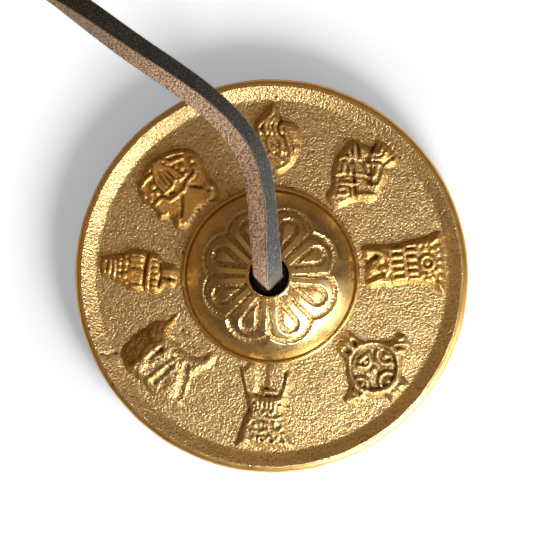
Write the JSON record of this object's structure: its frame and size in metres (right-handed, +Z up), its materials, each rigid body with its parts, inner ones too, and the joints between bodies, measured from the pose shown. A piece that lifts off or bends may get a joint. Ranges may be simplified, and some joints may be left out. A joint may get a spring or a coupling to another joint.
{
  "type": "tingsha cymbals",
  "caption": "Cast bronze hand cymbals with ritual symbols in relief and lotus bosses, joined by a knotted leather thong and struck edge to edge for a clear ringing tone.",
  "frame": {"origin": "on the plane that the cymbals rest on, midway between the centres of the two cymbals", "axes": "+Z up, out of the bosses; +X from the second cymbal to the first, nearly along the line of centres"},
  "size_m": [0.162, 0.0999, 0.0245],
  "materials": {
    "bronze": "cast, sandy in the hollows and polished on the high spots",
    "leather": "black grain face, raw brown cut sides"
  },
  "bodies": {
    "thong": {"near_thong": "leather", "far_thong": "leather"},
    "first_knot": {"first_knot": "leather"},
    "first_cymbal": {"first_cymbal": "bronze"},
    "second_knot": {"second_knot": "leather"},
    "second_cymbal": {"second_cymbal": "bronze"}
  },
  "joints": [
    {"name": "first_tilt", "type": "hinge", "parent": "thong", "child": "first_knot", "pos_m": [0.046, -0.004, 0.0134], "axis": [1, 0, 0], "range_deg": [-45, 18]},
    {"name": "first_spin", "type": "hinge", "parent": "first_knot", "child": "first_cymbal", "pos_m": [0.046, -0.004, 0], "axis": [0, 0, 1], "continuous": true},
    {"name": "second_tilt", "type": "hinge", "parent": "thong", "child": "second_knot", "pos_m": [-0.046, 0.004, 0.0134], "axis": [0.8064, 0.5913, 0], "range_deg": [-45, 8]},
    {"name": "second_spin", "type": "hinge", "parent": "second_knot", "child": "second_cymbal", "pos_m": [-0.046, 0.004, 0], "axis": [0, 0, 1], "continuous": true}
  ]
}
